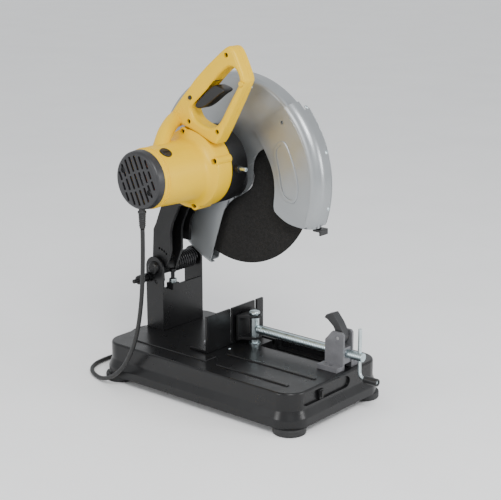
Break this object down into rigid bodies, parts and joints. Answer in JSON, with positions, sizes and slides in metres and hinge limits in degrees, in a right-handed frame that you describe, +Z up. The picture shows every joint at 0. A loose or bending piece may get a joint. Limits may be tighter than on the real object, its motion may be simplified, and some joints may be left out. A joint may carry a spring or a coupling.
{
  "type": "abrasive chop saw",
  "caption": "Bench chop saw for steel: pressed base with fence and quick-release vise, pivoting motor arm with D-handle, guarded abrasive wheel and power cord.",
  "frame": {"origin": "on the floor under the middle of the saw's outline, cord left out", "axes": "+Z up, the operator stands at -Y and +X is the operator's right; the motor sticks out towards -X"},
  "size_m": [0.406, 0.6686, 0.668],
  "materials": {
    "black_enamel": "satin black enamel on pressed steel",
    "black_casting": "semi-matt black paint on a rough casting",
    "black_hardware": "black oxide hardware",
    "bare_steel": "bare machined steel",
    "spring_steel": "oiled spring wire",
    "zinc_plate": "bluish zinc plating",
    "cast_gray": "sand-cast aluminium alloy",
    "guard_gray": "silver-gray painted steel sheet",
    "yellow_nylon": "fine-grained yellow filled nylon",
    "black_nylon": "moulded black nylon",
    "gray_nylon": "moulded dark gray nylon",
    "rubber": "moulded black rubber",
    "cord_rubber": "rubber-sheathed flexible cord",
    "abrasive_resin": "gritty resin-bonded abrasive",
    "wound_copper": "steel laminations with copper windings",
    "carbon": "sintered carbon"
  },
  "bodies": {
    "base": {"base_shell": "black_enamel", "foot_front_left": "rubber", "foot_front_right": "rubber", "foot_rear_left": "rubber", "foot_rear_right": "rubber", "wrench_clip": "bare_steel", "fence": "black_enamel", "fence_bolt_left": "bare_steel", "fence_bolt_right": "bare_steel", "pivot_post": "black_enamel", "pivot_bolt": "black_hardware", "pivot_nut": "bare_steel", "depth_stop_bolt": "black_hardware", "depth_stop_nut": "zinc_plate", "return_spring": "spring_steel", "vise_bracket": "cast_gray", "vise_lever_pin": "bare_steel", "cord_tube": "cord_rubber", "cord_coil": "cord_rubber", "plug": "cord_rubber"},
    "arm": {"arm": "black_casting", "gear_case": "black_casting", "bearing_plate": "cast_gray", "spindle_bearing": "bare_steel", "stator": "bare_steel", "rear_bearing": "bare_steel", "motor_housing": "yellow_nylon", "brush_cap_upper": "black_nylon", "brush_cap_lower": "black_nylon", "brush_upper": "carbon", "brush_lower": "carbon", "end_cap": "gray_nylon", "handle_left": "yellow_nylon", "handle_right": "yellow_nylon", "switch_block": "black_nylon", "handle_strut": "yellow_nylon", "fixed_guard": "guard_gray", "guard_retainer": "black_hardware", "strain_relief": "rubber"},
    "lower_guard": {"lower_guard": "guard_gray", "guard_bumper": "black_nylon"},
    "wheel": {"spindle": "bare_steel", "output_gear": "bare_steel", "inner_flange": "bare_steel", "wheel": "abrasive_resin", "outer_flange": "bare_steel", "wheel_bolt": "bare_steel"},
    "armature": {"armature": "wound_copper", "fan": "gray_nylon"},
    "trigger": {"trigger": "black_nylon"},
    "trigger_lock": {"trigger_lock_button": "black_nylon"},
    "spindle_lock": {"spindle_lock_pin": "zinc_plate"},
    "arm_lock": {"arm_lock_pin": "black_nylon"},
    "vise_carriage": {"jaw_pin": "zinc_plate"},
    "vise_screw": {"vise_screw": "zinc_plate", "crank_rod": "zinc_plate", "crank_grip": "black_nylon"},
    "vise_jaw": {"vise_jaw": "black_casting"},
    "vise_lever": {"vise_lever": "gray_nylon"}
  },
  "joints": [
    {"name": "arm_pivot", "type": "hinge", "parent": "base", "child": "arm", "pos_m": [0.0565, 0.2205, 0.208], "axis": [1, 0, 0], "range_deg": [0, 44.6], "stiffness_Nm_per_rad": 21, "springref_deg": -55.58},
    {"name": "lower_guard_swing", "type": "hinge", "parent": "arm", "child": "lower_guard", "pos_m": [0.0995, 0.0815, 0.4028], "axis": [-1, 0, 0], "range_deg": [0, 80]},
    {"name": "wheel_spin", "type": "hinge", "parent": "arm", "child": "wheel", "pos_m": [0.0995, 0.0815, 0.4028], "axis": [1, 0, 0], "continuous": true},
    {"name": "armature_spin", "type": "hinge", "parent": "arm", "child": "armature", "pos_m": [-0.0405, 0.1032, 0.4296], "axis": [1, 0, 0], "continuous": true},
    {"name": "trigger_pull", "type": "hinge", "parent": "arm", "child": "trigger", "pos_m": [-0.0105, 0.0805, 0.553], "axis": [-1, 0, 0], "range_deg": [0, 4], "stiffness_Nm_per_rad": 3, "springref_deg": -5.73},
    {"name": "trigger_lock_press", "type": "slide", "parent": "arm", "child": "trigger_lock", "axis": [1, 0, 0], "range_m": [0, 0.002], "stiffness_N_per_m": 400, "springref_m": -0.003},
    {"name": "spindle_lock_press", "type": "slide", "parent": "arm", "child": "spindle_lock", "axis": [0, 1, 0], "range_m": [0, 0.005], "stiffness_N_per_m": 500, "springref_m": -0.005},
    {"name": "arm_lock_slide", "type": "slide", "parent": "base", "child": "arm_lock", "axis": [1, 0, 0], "range_m": [0, 0.008]},
    {"name": "vise_slide", "type": "slide", "parent": "base", "child": "vise_carriage", "axis": [0, -1, 0], "range_m": [0, 0.15]},
    {"name": "screw_turn", "type": "hinge", "parent": "vise_carriage", "child": "vise_screw", "pos_m": [0.0615, -0.1225, 0.109], "axis": [0, -1, 0], "continuous": true},
    {"name": "jaw_swivel", "type": "hinge", "parent": "vise_carriage", "child": "vise_jaw", "pos_m": [0.0615, 0.0125, 0.115], "axis": [0, 0, 1], "range_deg": [-8, 8]},
    {"name": "vise_lever_lift", "type": "hinge", "parent": "base", "child": "vise_lever", "pos_m": [0.0615, -0.1995, 0.14], "axis": [1, 0, 0], "range_deg": [0, 35]}
  ],
  "couplings": [
    {"joint": "lower_guard_swing", "follows": "arm_pivot", "ratio": 1.75},
    {"joint": "armature_spin", "follows": "wheel_spin", "ratio": -4.1111}
  ]
}
